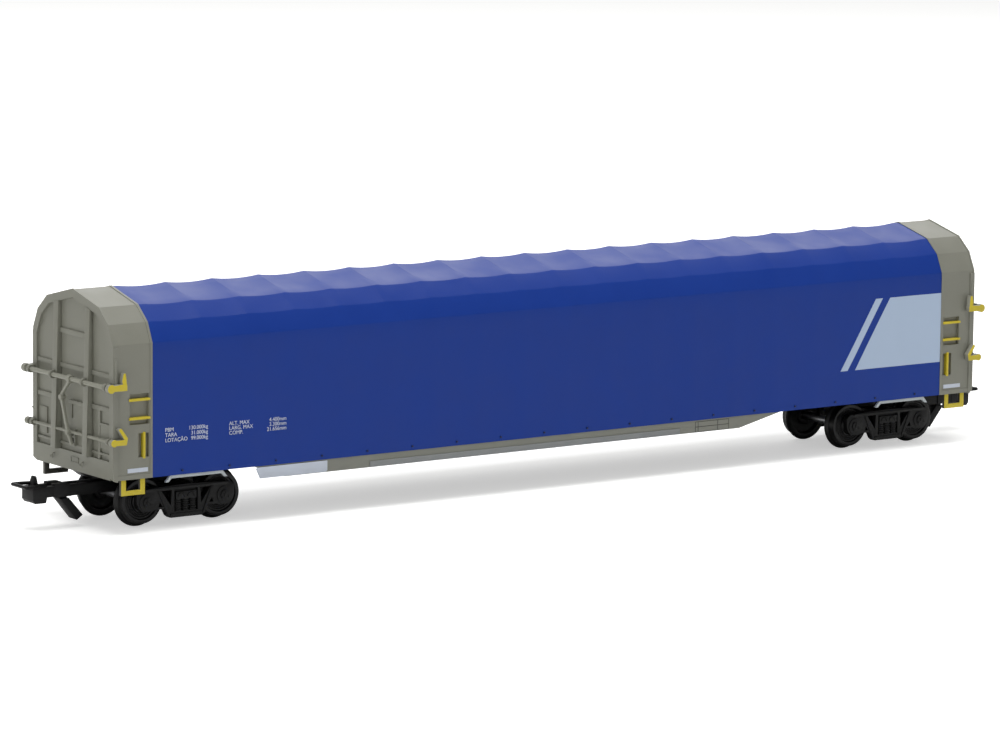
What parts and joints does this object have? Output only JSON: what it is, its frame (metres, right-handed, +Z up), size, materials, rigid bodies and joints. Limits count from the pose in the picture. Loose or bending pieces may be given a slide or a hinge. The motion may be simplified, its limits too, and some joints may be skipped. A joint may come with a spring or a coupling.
{
  "type": "model railway tarpaulin wagon",
  "caption": "Small-scale bogie freight wagon with ribbed tarpaulin hood, grey end housings, lock levers, steps, swivelling bogies, turning wheelsets and loop-and-hook couplers.",
  "frame": {"origin": "midway along and across the wagon, at the lowest point of the wheel flanges", "axes": "+X along the wagon towards end b, +Y to the left side, +Z up"},
  "size_m": [0.268, 0.0378, 0.0526],
  "materials": {
    "tarpaulin_blue": "satin moulded plastic",
    "housing_grey": "satin moulded plastic",
    "shaft_grey": "satin moulded plastic",
    "safety_yellow": "satin paint on moulded plastic",
    "underframe_black": "satin moulded plastic",
    "sill_grey": "satin moulded plastic",
    "strip_grey": "satin moulded plastic",
    "plate_white": "satin print",
    "bogie_black": "satin moulded plastic",
    "loop_black": "blackened wire",
    "wheel_black": "smooth moulded plastic",
    "axle_steel": "turned steel"
  },
  "bodies": {
    "wagon_body": {"tarpaulin_hood": "tarpaulin_blue", "end_housing_a": "housing_grey", "end_posts_a": "housing_grey", "end_rails_a": "housing_grey", "lock_shafts_a": "shaft_grey", "shaft_brackets_a": "housing_grey", "lock_levers_a": "safety_yellow", "lock_link_a": "shaft_grey", "body_bolster_a": "underframe_black", "kingpin_a": "bogie_black", "draft_box_a": "underframe_black", "end_housing_b": "housing_grey", "end_posts_b": "housing_grey", "end_rails_b": "housing_grey", "lock_shafts_b": "shaft_grey", "shaft_brackets_b": "housing_grey", "lock_levers_b": "safety_yellow", "lock_link_b": "shaft_grey", "body_bolster_b": "underframe_black", "kingpin_b": "bogie_black", "draft_box_b": "underframe_black", "ladder_rungs": "safety_yellow", "step_irons": "safety_yellow", "floor_pan": "underframe_black", "centre_sill": "underframe_black", "cross_bearers": "underframe_black", "side_sill_left": "sill_grey", "side_sill_right": "sill_grey", "number_plates": "plate_white", "sill_strips": "strip_grey", "cover_rails": "strip_grey"},
    "bogie_a": {"bogie_frame_a": "bogie_black", "coupler_arm_a": "bogie_black", "coupler_loop_a": "loop_black"},
    "hook_a": {"coupler_hook_a": "bogie_black"},
    "wheelset_a1": {"wheels_a1": "wheel_black", "axle_a1": "axle_steel"},
    "wheelset_a2": {"wheels_a2": "wheel_black", "axle_a2": "axle_steel"},
    "bogie_b": {"bogie_frame_b": "bogie_black", "coupler_arm_b": "bogie_black", "coupler_loop_b": "loop_black"},
    "hook_b": {"coupler_hook_b": "bogie_black"},
    "wheelset_b1": {"wheels_b1": "wheel_black", "axle_b1": "axle_steel"},
    "wheelset_b2": {"wheels_b2": "wheel_black", "axle_b2": "axle_steel"}
  },
  "joints": [
    {"name": "bogie_a_swivel", "type": "hinge", "parent": "wagon_body", "child": "bogie_a", "pos_m": [-0.0986, 0, 0.01], "axis": [0, 0, 1], "range_deg": [-12, 12]},
    {"name": "wheelset_a1_turn", "type": "hinge", "parent": "bogie_a", "child": "wheelset_a1", "pos_m": [-0.10853, 0, 0.0059], "axis": [0, 1, 0], "continuous": true},
    {"name": "wheelset_a2_turn", "type": "hinge", "parent": "bogie_a", "child": "wheelset_a2", "pos_m": [-0.08867, 0, 0.0059], "axis": [0, 1, 0], "continuous": true},
    {"name": "hook_a_drop", "type": "hinge", "parent": "bogie_a", "child": "hook_a", "pos_m": [-0.1234, 0, 0.0086], "axis": [0, -1, 0], "range_deg": [0, 12]},
    {"name": "bogie_b_swivel", "type": "hinge", "parent": "wagon_body", "child": "bogie_b", "pos_m": [0.0986, 0, 0.01], "axis": [0, 0, 1], "range_deg": [-12, 12]},
    {"name": "wheelset_b1_turn", "type": "hinge", "parent": "bogie_b", "child": "wheelset_b1", "pos_m": [0.10853, 0, 0.0059], "axis": [0, 1, 0], "continuous": true},
    {"name": "wheelset_b2_turn", "type": "hinge", "parent": "bogie_b", "child": "wheelset_b2", "pos_m": [0.08867, 0, 0.0059], "axis": [0, 1, 0], "continuous": true},
    {"name": "hook_b_drop", "type": "hinge", "parent": "bogie_b", "child": "hook_b", "pos_m": [0.1234, 0, 0.0086], "axis": [0, 1, 0], "range_deg": [0, 12]}
  ]
}
